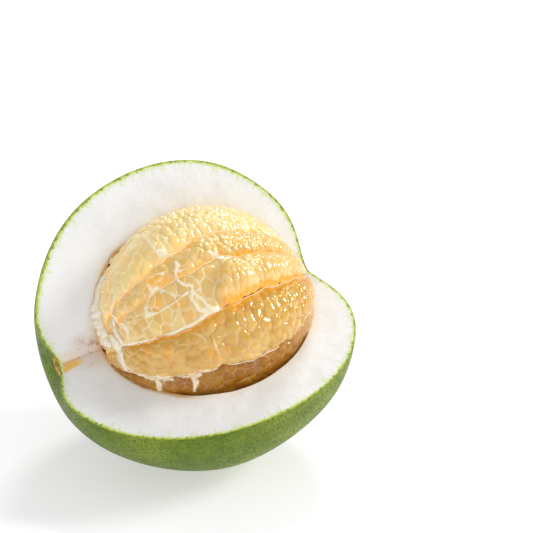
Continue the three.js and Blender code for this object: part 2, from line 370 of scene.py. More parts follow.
def addCamera():
    turn, rise = math.radians(shot["azimuth"]), math.radians(shot["elevation"])
    ahead = np.array([math.sin(turn) * math.cos(rise), math.cos(turn) * math.cos(rise), -math.sin(rise)])
    right = np.array([math.cos(turn), -math.sin(turn), 0.0])
    up = np.cross(right, ahead)
    perPixel = shot["distance"] / shot["focalPixels"]
    half = shot["frame"] / 2
    place = (fruitMiddle - ahead * shot["distance"]
             - right * (shot["fruitPixel"][0] - half) * perPixel
             + up * (shot["fruitPixel"][1] - half) * perPixel)
    lens = bpy.data.cameras.new("view")
    lens.sensor_width = shot["sensor"]
    lens.lens = shot["sensor"] * shot["focalPixels"] / shot["frame"]
    lens.clip_start = 0.01
    camera = showObject("view", lens)
    basis = np.column_stack([right, up, -ahead])
    rows = [[*basis[i], place[i] * mm] for i in range(3)] + [[0, 0, 0, 1]]
    camera.matrix_world = list(zip(*rows))
    bpy.context.scene.camera = camera


def addLight(name, way, power, spread):
    # a wide, far soft light that shines from the given way
    lamp = bpy.data.lights.new(name, "SUN")
    lamp.angle = math.radians(spread)
    lamp.energy = power
    thing = showObject(name, lamp)
    thing.location = way
    thing.rotation_euler = (-Vector(way)).to_track_quat("-Z", "Y").to_euler()


studio = {
    "lamps": {
        "keyRight": ((0.82, -0.26, 0.55), 1.6, 20.0),
        "topBack": ((0.35, 0.42, 0.85), 0.9, 16.0),
        "frontFill": ((-0.25, -0.9, 0.6), 0.6, 80.0),
    },
    "sky": 0.46,
    "floorGlow": 0.5,
    "floorHalf": 6.0,
    "floorTones": ((0.62, 0.61, 0.63), (0.65, 0.64, 0.66)),
}


def addStudio():
    for name, settings in studio["lamps"].items():
        addLight(name, *settings)
    world = bpy.data.worlds.new("studio")
    world.use_nodes = True
    backdrop = world.node_tree.nodes["Background"].inputs
    backdrop[0].default_value = (1, 1, 1, 1)
    backdrop[1].default_value = studio["sky"]
    bpy.context.scene.world = world
    bpy.context.scene.view_settings.view_transform = "Standard"
    bpy.context.scene.cycles.use_denoising = True
    size = studio["floorHalf"]
    mesh = bpy.data.meshes.new("floor")
    corners = [(-size, -size, 0), (size, -size, 0), (size, size, 0), (-size, size, 0)]
    mesh.from_pydata(corners, [], [(0, 1, 2, 3)])
    floor = showObject("floor", mesh)
    paper = Finish("paleFloor", Roughness=0.7, Emission_Strength=studio["floorGlow"],
                   Emission_Color=(1.0, 0.985, 1.0))
    tone = paper.noise(3.0, 2.0)
    mesh.materials.append(paper.set(Base_Color=paper.blend(tone, *studio["floorTones"])))


addCamera()
addStudio()
print("camera, floor and light made")


skin = {
    "ends": 150,
    "around": 230,
    "deep": 3,
    "green": (0.170, 0.248, 0.009),
    "deepGreen": (0.108, 0.176, 0.005),
    "paleGreen": (0.26, 0.32, 0.035),
    "poreScale": 760.0,
    "poreColor": (0.06, 0.115, 0.008),
    "rust": (0.34, 0.23, 0.06),
    "edgeGreen": (0.44, 0.57, 0.035),
    "glandColor": (0.17, 0.27, 0.006),
    "palePith": (0.80, 0.86, 0.50),
    "waves": 0.4,
}


def skinFinish():
    peel = Finish("pomeloSkin", Specular_IOR_Level=0.14)
    mottle = peel.noise(60.0, 5.0, 0.65)
    patches = peel.noise(16.0, 3.0, 0.5)
    tone = peel.blend(mottle.between(0.35, 0.68), skin["deepGreen"], skin["green"])
    tone = peel.blend(patches.between(0.45, 0.75), tone, skin["paleGreen"])
    pores = peel.cells(skin["poreScale"])
    spot = 1 - pores.between(0.15, 0.62)
    grain = peel.noise(620.0, 3.0, 0.7)
    tone = peel.blend((spot * 0.75 + grain.between(0.45, 0.7) * 0.25).clamp(), tone, skin["poreColor"])
    tone = peel.blend(grain.between(0.5, 0.3) * 0.3, tone, skin["paleGreen"])
    rust = peel.noise(38.0, 4.0, 0.7).between(0.66, 0.76)
    tone = peel.blend(rust * 0.5, tone, skin["rust"])
    dimple = peel.bump(pores.between(0.0, 0.5), 0.0005, 0.5)
    skinNormal = peel.bump(grain, 0.0002, 0.3, dimple)
    return peel.set(Base_Color=tone, Normal=skinNormal, Roughness=0.42 + spot * 0.2)


def cutEdgeFinish():
    rim = Finish("skinCutEdge", Roughness=0.5)
    depth = rim.attribute("depth")
    glands = rim.cells(430.0)
    fray = rim.noise(420.0, 3.0)
    gland = 1 - (glands + depth.between(0.8, 2.0) * 0.3).between(0.36, 0.56)
    tone = rim.blend((depth + (fray - 0.5) * 0.8).between(0.2, 0.8), skin["green"], skin["edgeGreen"])
    pale = (depth + (fray - 0.5) * 2.4).between(0.95, 1.9)
    tone = rim.blend(pale, tone, skin["palePith"])
    tone = rim.blend(gland * 0.8, tone, skin["glandColor"])
    return rim.set(Base_Color=tone)


def makeSkin():
    def shapeCut(points, theta, psi, radius, high, onCut):
        wave = cloud(points, 26.0, 1.0) * skin["waves"]
        outer = 1 - (high - radius) / (fruit["skin"] - skin["waves"])
        fade = smoothStep(4.0, 16.0, points[:, 2]) * outer
        points = points + (wave * fade)[:, None] * coreDirection(theta, psi)
        points[:, 2] = np.maximum(points[:, 2], 0.0)
        return points
    piece, kinds = wedgeShell(
        "pomeloSkin",
        lambda theta, psi: fruitRadius(theta, psi) - fruit["skin"],
        lambda theta, psi: fruitRadius(theta, psi) - skin["waves"],
        skin, shapeCut)
    finishPiece(piece, "skin", ["skin"], skinFinish(), cutEdgeFinish())
    piece.data.polygons.foreach_set("material_index", kinds)


makeSkin()
print("skin made")


pith = {
    "ends": 200,
    "around": 60,
    "deep": 46,
    "white": (0.91, 0.915, 0.91),
    "grey": (0.80, 0.80, 0.79),
    "streak": (0.70, 0.82, 0.38),
    "warm": (0.88, 0.76, 0.56),
    "brown": (0.36, 0.20, 0.09),
    "bruise": (0.76, 0.66, 0.58),
    "scarOrange": (0.93, 0.56, 0.12),
    "amber": (0.66, 0.36, 0.07),
    "unevenness": 0.9,
    "overlap": -0.6,
    "slit": 1.7,
    "stemFrom": -40.0,
    "stemLong": 26.0,
}


def pithFinish():
    white = Finish("pomeloPith", Roughness=0.8, Subsurface_Weight=0.15, Subsurface_Scale=0.002,
                   Subsurface_Radius=(1.0, 0.95, 0.8))
    depth, inside, run, core, stem, lower = map(
        white.attribute, ("depth", "inside", "run", "core", "stem", "lower"))
    streaks = white.noise(1.2, 3.0, 0.6, white.along(run * 44.0, depth * 0.12))
    tuft = white.noise(1.0, 2.0, 0.5, white.along(run * 9.0, 4.0))
    soft = white.noise(60.0, 4.0, 0.6)
    fine = white.noise(420.0, 3.0, 0.6)
    dull = soft.between(0.35, 0.75) * 0.5 + streaks.between(0.5, 0.75) * 0.3
    tone = white.blend(dull, pith["white"], pith["grey"])
    reach = 2.7 + streaks.between(0.42, 0.75) * (2.0 + tuft.between(0.35, 0.65) * 7.0)
    green = 1 - (depth / reach).between(0.45, 1.0)
    tone = white.blend(green * 0.6, tone, pith["streak"])
    stain = (1 - (inside + (soft - 0.5) * 5.0).between(0.3, 4.5)) * 0.4
    tone = white.blend(stain, tone, pith["warm"])
    # bruised, fibrous corner between the stem end of the flesh and the scar
    edge = (1 - (inside + (fine - 0.5) * 1.2).between(0.4, 2.4)) * run.between(1.93, 2.15)
    tone = white.blend(edge * 0.85, tone, pith["amber"])
    corner = (1 - (core + (soft - 0.5) * 14.0).between(2.0, 13.0)) * (1 - stem.between(0.5, 0.95))
    speck = white.noise(240.0, 5.0, 0.75).between(0.5, 0.68)
    tone = white.blend(corner * 0.7, tone, pith["bruise"])
    tone = white.blend(corner * speck * 0.75, tone, pith["brown"])
    # stained orange beside the scar, mostly on the lower cut, and painted shade: a brown line in the crease
    # where the two cuts meet
    wedge = (core / (stem * 5.5 + 0.4) + (fine - 0.5) * 0.4).between(0.75, 1.1)
    scarEnd = (stem + (fine - 0.5) * 0.25).between(0.55, 0.76) * (1 - wedge) * (0.2 + lower * 0.8)
    tone = white.blend(scarEnd * 0.95, tone, pith["scarOrange"])
    creaseShade = (1 - (core + (fine - 0.5) * 1.2).between(0.15, 0.9)) * (0.35 + speck * 0.65)
    tone = white.blend(creaseShade * 0.7, tone, pith["brown"])
    normal = white.bump(soft, 0.0012, 0.35)
    normal = white.bump(fine + streaks * 0.7, 0.0005, 0.45, normal)
    return white.set(Base_Color=tone, Normal=normal)


def pithGap(theta, psi):
    # the pith touches the flesh, but has come away from it at the left of the upper cut
    place = np.degrees(theta)
    nearCut = smoothStep(300.0, 335.0, np.degrees(psi))
    away = smoothStep(112.0, 126.0, place) * (1 - smoothStep(146.0, 160.0, place)) * nearCut
    return pith["overlap"] + pith["slit"] * away


def makePith():
    def shapeCut(points, theta, psi, radius, high, onCut):
        # cut faces swell and dip a little, less towards the skin
        across = radialWay(psi + math.pi / 2)
        fade = smoothStep(0.0, 9.0, high - radius) * np.sin(theta) * onCut
        dent = cloud(points, 17.0, 4.0) * 0.7 + cloud(points, 6.0, 8.0) * 0.3
        return points + (pith["unevenness"] * dent * fade)[:, None] * across
    piece, _ = wedgeShell(
        "pomeloPith",
        lambda theta, psi: cavityRadius(theta, psi, pithGap(theta, psi)),
        lambda theta, psi: fruitRadius(theta, psi) - fruit["skin"] - 0.02,
        pith, shapeCut)
    spots = np.empty(len(piece.data.vertices) * 3)
    piece.data.vertices.foreach_get("co", spots)
    offset = spots.reshape(-1, 3) / mm - fruitMiddle
    alongCore = offset @ coreAlong
    storeValues(piece.data, core=np.linalg.norm(offset - alongCore[:, None] * coreAlong, axis=1),
                stem=np.clip((pith["stemFrom"] - alongCore) / pith["stemLong"], 0, 1),
                lower=np.clip(offset @ coreOut / 0.8 + 0.5, 0, 1))
    finishPiece(piece, "pith", ["pith"], pithFinish())


makePith()
print("pith made")


segmentShapes = [
    {"node": "segment_01", "from": -20.0, "to": 16.8, "rise": 0.0, "end": -1.5, "seams": (0.0, 3.0)},
    {"node": "segment_02", "from": 16.8, "to": 35.0, "rise": -0.4, "end": -0.8, "seams": (2.6, 3.2)},
    {"node": "segment_03", "from": 35.0, "to": 64.1, "rise": 0.0, "end": 0.4, "seams": (3.4, 7.4)},
    {"node": "segment_04", "from": 64.1, "to": 95.6, "rise": 1.2, "end": 1.2, "seams": (5.0, 4.0)},
    {"node": "segment_05", "from": 95.6, "to": 124.0, "rise": -4.0, "end": -0.5, "seams": (3.0, 0.0)},
]

# where each seam runs round the core, at places from the blossom end, in degrees
seamPaths = {
    16.8: [(20, 16.0), (70, 17.0), (86, 16.6), (101, 18.9), (125, 22.5), (140, 20.8), (165, 19.0)],
    35.0: [(20, 35.0), (58, 37.3), (73, 37.0), (82, 34.2), (100, 36.5), (125, 37.5), (160, 35.0)],
    64.1: [(20, 62.0), (44, 61.6), (65, 60.9), (82, 62.1), (95, 64.0), (105, 66.2), (122, 68.0),
           (142, 65.6), (160, 63.0)],
    95.6: [(20, 95.6), (65, 95.9), (86, 95.5), (103, 92.7), (119, 94.9), (137, 97.4), (160, 97.0)],
}


def seamAngle(seam, theta):
    if seam not in seamPaths:
        return np.full(np.shape(theta), math.radians(seam))
    places, angles = np.array(seamPaths[seam], float).T
    wander = 0.5 * np.sin(theta * 13.0 + seam) + 0.4 * np.sin(theta * 29.0 + 2 * seam)
    return np.radians(np.interp(np.degrees(theta), places, angles) + wander)


def bothSeams(shape, theta):
    return seamAngle(shape["from"], theta), seamAngle(shape["to"], theta)


def halfTurn(shape):
    return math.radians((shape["to"] - shape["from"]) / 2)


flesh = {
    "rowStep": 0.42,
    "sides": 8,
    "gap": 0.8,
    "seamPower": 3.2,
    "bluntness": 0.88,
    "swell": 0.9,
    "sacDepth": 1.0,
    "sacHeight": 0.68,
    "stray": 1.1,
    "webRaise": 0.7,
    "tip": 0.12,
    "coreRadius": 4.5,
    "perRadian": 50.0,
    "sideGlow": 1.5,
    "showing": 5,
    "tries": 9000,
    "quickTries": 2500,
    "crowding": 0.62,
    "sowReach": 8.0,
    "sacReach": 9.5,
    "creaseWidth": 0.34,
    "creaseDip": (0.22, 0.18),
    "tornLine": (0.16, 0.35),
    "sacSink": 0.4,
    "paleEnd": (0.86, 0.55, 0.26),
    "drySkin": (0.99, 0.89, 0.66),
    "film": (0.97, 0.89, 0.71),
    "faintGlow": (0.10, 0.058, 0.008),
    "goldGlow": (1.0, 0.51, 0.05),
}

# torn membrane on the flesh: strength, then places (from the blossom end, round the core) and half widths
webs = {
    "laid": [
        (0.8, [(101.4, 18.9, 0.6), (91.1, 17.5, 0.5), (81.9, 16.4, 0.6), (76.5, 17.2, 0.5), (66, 17.1, 0.4)]),
        (0.9, [(111, -3.9, 0.4), (111.3, 4.6, 0.7), (111.5, 10.8, 1.1), (111.6, 15.1, 0.8),
               (107.7, 17.5, 1.3), (104.4, 21.6, 0.5)]),
        (1.0, [(105, 26.8, 0.7), (105.5, 30.2, 1.1), (108.1, 33.4, 0.7), (108.7, 38.5, 1.0),
               (106.7, 42.9, 0.5), (103.6, 44.6, 0.9), (104.7, 48.3, 0.6), (106.6, 51.5, 1.0),
               (105.4, 59.5, 1.4), (101.4, 62.8, 1.8)]),
        (0.8, [(102.3, 34.4, 0.5), (106, 33.5, 1.2), (109, 31, 0.5)]),
        (1.0, [(105.1, 48.1, 0.6), (102.1, 53.6, 0.6), (100.3, 59.9, 1.1), (98.5, 62.6, 2.0),
               (93.3, 63.6, 0.5)]),
        (0.8, [(140.4, 20.8, 0.7), (133.4, 21.2, 0.6), (125.3, 23.5, 0.6), (119, 27, 0.5), (111, 30, 0.5)]),
        (0.9, [(123.6, 30, 0.8), (123.1, 36.2, 1.3), (126.9, 39, 0.7), (130.6, 42.9, 0.6), (131.5, 48.5, 1.2),
               (125.3, 50.5, 0.7), (119.1, 49.6, 0.6), (113.1, 48.7, 0.5), (107, 47, 0.5)]),
        (0.7, [(124, 34, 1.0), (119, 36, 1.4), (117, 40, 0.7)]),
        (0.9, [(142.8, 15.3, 0.9), (147.4, 19.7, 1.4), (151.6, 25.5, 0.8), (149.6, 36.4, 0.7), (146, 47, 1.1),
               (148, 58, 0.9)]),
        (0.6, [(131.5, 48.5, 0.5), (138, 47, 0.6), (144, 44, 0.5)]),
        (0.6, [(113.1, 48.7, 0.5), (116, 56, 0.5), (121, 62, 0.6)]),
        (1.0, [(155, 62.0, 1.4), (148, 64.0, 1.2), (141.9, 64.6, 1.0), (130.3, 66.4, 0.7), (121.8, 66.6, 0.7),
               (112.5, 65.8, 0.9), (105.3, 64.0, 1.5), (99.8, 63.2, 1.5), (94, 63.4, 0.4)]),
        (0.6, [(88, 20, 0.5), (84, 24, 0.7), (85, 28, 0.5)]),
        (1.0, [(88, 31, 0.7), (85.5, 33.8, 1.7), (82, 36.6, 0.8), (77, 36.4, 0.5)]),
        (0.7, [(104.5, 74, 0.5), (104.5, 80.4, 0.9), (104.1, 85.2, 0.5), (105.9, 93.6, 0.4)]),
        (0.7, [(113, 70, 0.4), (109, 73, 0.7), (108, 78, 0.4)]),
        (0.9, [(160, 72, 1.8), (158, 84, 1.8), (152, 93, 1.4), (142, 94.6, 0.9), (128, 93.6, 0.6),
               (110, 92.6, 0.5), (92, 93.4, 0.5), (76, 94.6, 0.4)]),
        (0.8, [(144, 98.6, 0.7), (140, 98.8, 1.4), (133, 98.6, 1.4), (128, 98.4, 0.7)]),
        (0.85, [(137.2, 99, 2.2), (137.2, 104, 1.6), (137.4, 113, 1.4)]),
        (0.8, [(122.5, 98.0, 0.7), (118, 98.4, 1.2), (113, 98.2, 0.7)]),
        (0.85, [(117.8, 98.5, 1.9), (117.8, 103, 1.3), (118.3, 109, 1.2)]),
    ],
    "step": 0.9,
}

# where light comes through deep gold: place on the flesh, reach in mm, strength
goldPools = [
    (121, 28.6, 3.4, 1.0), (116.3, 33.1, 2.6, 0.9), (123.8, 45.2, 3.0, 0.8), (112.7, 51.9, 2.6, 0.6),
    (99.2, 18.0, 2.6, 0.8), (91.9, 63.6, 3.2, 1.0), (87.7, 64.0, 3.4, 1.0), (90.1, 56.0, 2.0, 0.6),
    (110.8, 69.0, 2.4, 1.0), (105.5, 69.0, 2.6, 1.0), (100.0, 68.3, 2.8, 1.0), (106.8, 82.8, 3.2, 0.95),
    (128.9, 76.9, 2.8, 0.9), (112.4, 92.6, 2.2, 0.8), (88.5, 91.5, 2.6, 0.5), (84.9, 104.7, 3.4, 0.8),
    (125.0, 103.2, 3.6, 0.9), (138.9, 73.4, 2.6, 0.5),
]

# size of the juice sacs along each segment: place from the blossom end, length, width
sacSizes = {
    "segment_01": [(20, 3.4, 2.2), (70, 4.2, 2.8), (100, 6.5, 4.0), (125, 9.0, 6.5), (160, 9.0, 6.5)],
    "segment_02": [(20, 3.2, 2.2), (80, 3.8, 2.8), (105, 5.0, 3.6), (150, 7.0, 5.0)],
    "segment_03": [(15, 4.5, 2.6), (40, 8.0, 3.0), (65, 13.0, 4.0), (85, 13.0, 4.6), (95, 10.0, 6.0),
                   (150, 9.0, 6.0)],
    "segment_04": [(15, 9.0, 2.2), (35, 9.5, 2.6), (48, 7.0, 4.6), (100, 6.8, 5.6), (150, 6.4, 5.2)],
    "segment_05": [(15, 4.0, 3.0), (60, 4.6, 3.8), (90, 6.0, 5.4), (150, 6.4, 5.6)],
}


def seamGroove(shape, theta, t):
    # depth below the segment's crown, in millimetres, growing towards the seams
    low, high = shape["seams"]
    if shape["node"] == "segment_03":
        high = high - 5.6 * smoothStep(88, 99, np.degrees(theta))
    return np.where(t < 0, low, high) * np.abs(t) ** flesh["seamPower"]


def placeAlong(shape, theta):
    # along the core line from the flesh's middle
    return fleshReach(theta) * np.cos(theta) + shape["end"] * np.clip(np.cos(theta), 0, 1) ** 3


def segmentSurface(shape, theta, t):
    # point of a segment's back; t runs from one seam (-1) to the other (1)
    name = shape["node"]
    plain = fruit["fleshRadius"] * np.clip(np.sin(theta), 0, 1) ** flesh["bluntness"]
    fullness = (plain / fruit["fleshRadius"]) ** 2
    v = plain + shape["rise"] * fullness - seamGroove(shape, theta, t) * np.minimum(plain / 16.0, 1)
    v = v + segmentBulge(name, theta, t) * fullness - flesh["sacDepth"] * np.sqrt(fullness)
    low, high = bothSeams(shape, theta)
    middle, halfWidth = (low + high) / 2, (high - low) / 2
    trim = np.arcsin(np.clip(flesh["gap"] / 2 / np.maximum(v, 2.0), 0, 0.4))
    angle = middle + t * np.maximum(halfWidth - trim, 0.02)
    radial = radialWay(angle)
    along = fleshMiddle + placeAlong(shape, theta)[..., None] * coreAlong
    rough = cloud(along + v[..., None] * radial, 9.0, 3.0) * flesh["swell"] * np.sqrt(fullness)
    return along + (v + rough)[..., None] * radial


def segmentBulge(name, theta, t):
    place = np.degrees(theta)
    if name == "segment_03":
        # its right half is a full lobe with a round end that stands over the torn left half
        lobe = 1 - smoothStep(-3.0, 3.5, place - 91.5 + 13 * (t - 0.3) ** 2)
        middle = 1 - t * t
        return 3.7 * lobe * middle ** 0.6 - 2.6 * (1 - lobe) * middle
    if name == "segment_04":
        fold = smoothStep(-0.5, -1.0, t) * (1 - smoothStep(60, 100, place))
        return 1.2 * smoothStep(-0.6, 0.7, t) - 2.0 * fold
    if name == "segment_02":
        return -2.4 * smoothStep(90, 112, place) * (1 - smoothStep(150, 170, place)) * (1 - t ** 4)
    if name == "segment_01":
        middle = smoothStep(-1.0, -0.4, t) * (1 - smoothStep(0.6, 1.0, t))
        return (2.4 - 1.2 * smoothStep(100, 140, place)) * middle
    return 0.0 * theta


def segmentCore(shape, sacs):
    # closed segment: its back carries the juice sacs, its two sides run down to the core
    step = flesh["rowStep"] * 1.0
    halfWidth = halfTurn(shape)
    rows = int((math.pi - 2 * flesh["tip"]) * flesh["perRadian"] / step)
    across = int(2 * halfWidth * flesh["perRadian"] / step)
    sides = flesh["sides"]
    thetas = np.linspace(flesh["tip"], math.pi - flesh["tip"], rows)
    ts = np.linspace(-1, 1, across + 1)
    grid, span = np.meshgrid(thetas, ts, indexing="ij")
    here, out = surfaceFrame(shape, grid, span)
    raised, crease, tone, torn = sacField(shape, sacs, thetas, ts, here)
    low, high = bothSeams(shape, grid)
    psi = (low + high) / 2 + span * (high - low) / 2
    web = webField(grid, psi, here)
    glow = np.maximum(seamGlow(shape["node"], grid, span), poolField(grid, psi, here))
    fade = np.minimum((1 - np.abs(span)) * across / 3.0, 1) ** 0.5
    back = here + out * (raised * (1 - 0.6 * web) * fade + flesh["webRaise"] * web)[..., None]
    radial = radialWay(math.radians((shape["from"] + shape["to"]) / 2))
    inner = fleshMiddle + placeAlong(shape, thetas)[:, None] * coreAlong + radial * flesh["coreRadius"]
    steps = np.linspace(0, 1, sides + 2)[1:-1]
    down = back[:, -1:, :] + (inner[:, None, :] - back[:, -1:, :]) * steps[None, :, None]
    up = inner[:, None, :] + (back[:, :1, :] - inner[:, None, :]) * steps[None, :, None]
    ring = np.concatenate([back, down, inner[:, None, :], up], axis=1)
    count = ring.shape[1]
    points = np.concatenate([ring.reshape(-1, 3), [ring[0].mean(0)], [ring[-1].mean(0)]])

    def spread(values, rest):
        whole = np.full((rows, count), rest)
        whole[:, 1:across] = values[:, 1:across]
        return np.concatenate([whole.ravel(), [rest, rest]])
    layers = {"crease": spread(crease, 0.0), "tone": spread(tone, 0.5), "torn": spread(torn, 0.0),
              "web": spread(web, 0.0), "glow": spread(glow, flesh["sideGlow"])}
    return points, tubeFaces(rows, count), layers


def seamGlow(name, theta, t):
    # deep orange where light comes through the flesh, low in the seams
    place = np.degrees(theta)
    if name == "segment_03":
        return smoothStep(0.4, 0.95, t) * (1 - smoothStep(86, 100, place)) * smoothStep(25, 50, place)
    if name == "segment_04":
        under = smoothStep(82, 96, place) * (1 - smoothStep(118, 132, place))
        return (1 - smoothStep(-0.98, -0.76, t)) * (0.5 + 0.5 * under)
    if name == "segment_02":
        spot = bell(place - 121.6, 5.0) * bell(t - 0.1, 0.45)
        return np.maximum(spot, 0.7 * smoothStep(0.72, 1.0, np.abs(t)))
    return 0.6 * smoothStep(0.8, 1.0, np.abs(t))


def sacField(shape, sacs, thetas, ts, points):
    # height of the sacs over the segment's back, how near each place is to a crease, and each sac's tone
    halfWidth = halfTurn(shape)
    height = np.zeros((len(thetas), len(ts)))
    crease, tone, torn = height.copy(), height.copy(), height.copy()
    stray = [cloud(points, 3.6, seed) * flesh["stray"] for seed in (11.0, 17.0)]
    (dipWidth, dipDepth), (lineWidth, lineHeight) = flesh["creaseDip"], flesh["tornLine"]
    for i, theta in enumerate(thetas):
        run = math.sin(theta) * float(fleshReach(np.array(theta))) * halfWidth
        near = sacs[np.abs(sacs[:, 0] - theta) * flesh["perRadian"] < flesh["sacReach"]]
        if not len(near):
            continue
        dx = (theta - near[:, 0]) * flesh["perRadian"] + stray[0][i][:, None]
        dy = (ts[:, None] - near[None, :, 1]) * run + stray[1][i][:, None]
        turn = near[:, 5]
        x = dx * np.cos(turn) + dy * np.sin(turn)
        y = dy * np.cos(turn) - dx * np.sin(turn)
        far = np.sqrt((x / (near[:, 3] / 2)) ** 2 + (y / (near[:, 2] / 2)) ** 2)
        order = np.argsort(far, axis=1)
        first, second = order[:, 0], order[:, 1] if far.shape[1] > 1 else order[:, 0]
        line = np.arange(len(ts))
        d, gap = far[line, first], far[line, second] - far[line, first]
        chosen = near[first]
        size = np.minimum(chosen[:, 2], chosen[:, 3]) / 2
        dome = np.sqrt(np.clip(1 - 0.5 * np.minimum(d, 1.35) ** 2, 0, 1)) * size * flesh["sacHeight"]
        # neighbours meet at the same height, in a soft crease
        dip = bell(gap, dipWidth) * size * dipDepth
        share = tornShare(shape["node"], np.full(len(ts), theta), ts)
        height[i] = (dome - dip) * (1 - 0.55 * share) + bell(gap, lineWidth) * lineHeight * share
        crease[i] = bell(gap, flesh["creaseWidth"])
        tone[i] = chosen[:, 4]
        torn[i] = share
    return height - flesh["sacSink"], crease, tone, torn


def howFar(theta, psi, a, b):
    # over the flesh from each place to one given in degrees, in mm
    return np.hypot(theta - math.radians(a), (psi - math.radians(b)) * np.sin(theta)) * flesh["perRadian"]


def webField(theta, psi, points):
    # how much torn membrane lies on each place of the flesh, from 0 to 1
    cover = np.zeros(theta.shape)
    ragged = 1 + 0.55 * cloud(points, 1.8, 5.0) + 0.6 * cloud(points, 4.5, 6.0)
    for strength, places in webs["laid"]:
        marks = np.array(places, float)
        legs = np.hypot(np.diff(marks[:, 0]), 0.7 * np.diff(marks[:, 1]))
        reach = np.concatenate([[0], np.cumsum(legs)])
        for step in np.arange(0, reach[-1], webs["step"]):
            a, b, half = (np.interp(step, reach, marks[:, k]) for k in range(3))
            cover = np.maximum(cover, strength * bell(howFar(theta, psi, a, b) * ragged, half))
    return cover


def poolField(theta, psi, points):
    # share of deep gold at each place of the flesh
    share = np.zeros(theta.shape)
    uneven = 1 + 0.5 * cloud(points, 3.0, 21.0)
    for a, b, reach, strength in goldPools:
        share = np.maximum(share, strength * bell(howFar(theta, psi, a, b) * uneven, reach))
    return share


def sowSacs(shape, seed):
    # dart throwing over the part of the segment that shows, sacs set closer than their width
    dice = random.Random(seed)
    table = np.array(sacSizes[shape["node"]], float)
    halfWidth = halfTurn(shape)
    rows, spots = [], np.zeros((0, 4))
    for _ in range(flesh["tries"]):
        theta = math.acos(dice.uniform(-0.985, 0.985))
        t = dice.uniform(-0.97, 0.97)
        length = np.interp(math.degrees(theta), table[:, 0], table[:, 1]) * dice.uniform(0.85, 1.15)
        width = np.interp(math.degrees(theta), table[:, 0], table[:, 2]) * dice.uniform(0.88, 1.12)
        if shape["node"] == "segment_03" and math.degrees(theta) < 91:
            # small sacs along the top of the lobe, long ones down its side
            if t < -0.1:
                length, width = 3.6 * dice.uniform(0.9, 1.1), 2.8 * dice.uniform(0.9, 1.1)
            elif math.degrees(theta) > 68:
                t, width = dice.uniform(0.36, 0.46), 3.6 * dice.uniform(0.9, 1.1)
        squeeze = max(math.sin(theta), 0.3)
        length *= squeeze ** 0.5
        width *= squeeze ** 0.25
        alongSeam = theta * flesh["perRadian"]
        acrossSeam = t * halfWidth * float(fleshReach(np.array(theta))) * math.sin(theta)
        if len(spots):
            near = spots[np.abs(spots[:, 0] - alongSeam) < flesh["sowReach"]]
            if len(near):
                dx = (near[:, 0] - alongSeam) / ((near[:, 3] + width) / 2)
                dy = (near[:, 1] - acrossSeam) / ((near[:, 2] + length) / 2)
                if np.min(dx * dx + dy * dy) < flesh["crowding"]:
                    continue
        spots = np.vstack([spots, [alongSeam, acrossSeam, length, width]])
        rows.append((theta, t, length, width, dice.random(), dice.uniform(-0.25, 0.25)))
    return rows


# the finishes of the segments that show: tones from the crown of a sac to its rim, and how it shines
sacLooks = {
    "juiceSacsPale": {
        "crown": (0.91, 0.755, 0.39), "honey": (0.90, 0.66, 0.26), "deep": (0.94, 0.60, 0.12),
        "rim": (0.97, 0.80, 0.50), "patches": 0.25, "light": 0.6, "lines": 0.3, "gloss": 1.0},
    "juiceSacsHoney": {
        "crown": (0.86, 0.65, 0.265), "honey": (0.77, 0.495, 0.125), "deep": (0.76, 0.38, 0.03),
        "rim": (0.95, 0.75, 0.45), "patches": 0.45, "light": 0.6, "lines": 0.75, "gloss": 1.0},
    # the lowest segment: a darker copy of the flesh finish, painted shade where it sinks into the cavity
    "juiceSacsShadedAmber": {
        "crown": (0.47, 0.22, 0.010), "honey": (0.35, 0.125, 0.002), "deep": (0.26, 0.065, 0.001),
        "rim": (0.70, 0.42, 0.12), "patches": 0.5, "light": 0.16, "lines": 0.35, "gloss": 0.2},
    "juiceSacsGold": {
        "crown": (0.71, 0.455, 0.095), "honey": (0.61, 0.345, 0.032), "deep": (0.56, 0.25, 0.004),
        "rim": (0.90, 0.66, 0.33), "patches": 0.6, "light": 0.5, "lines": 0.4, "gloss": 1.0},
}


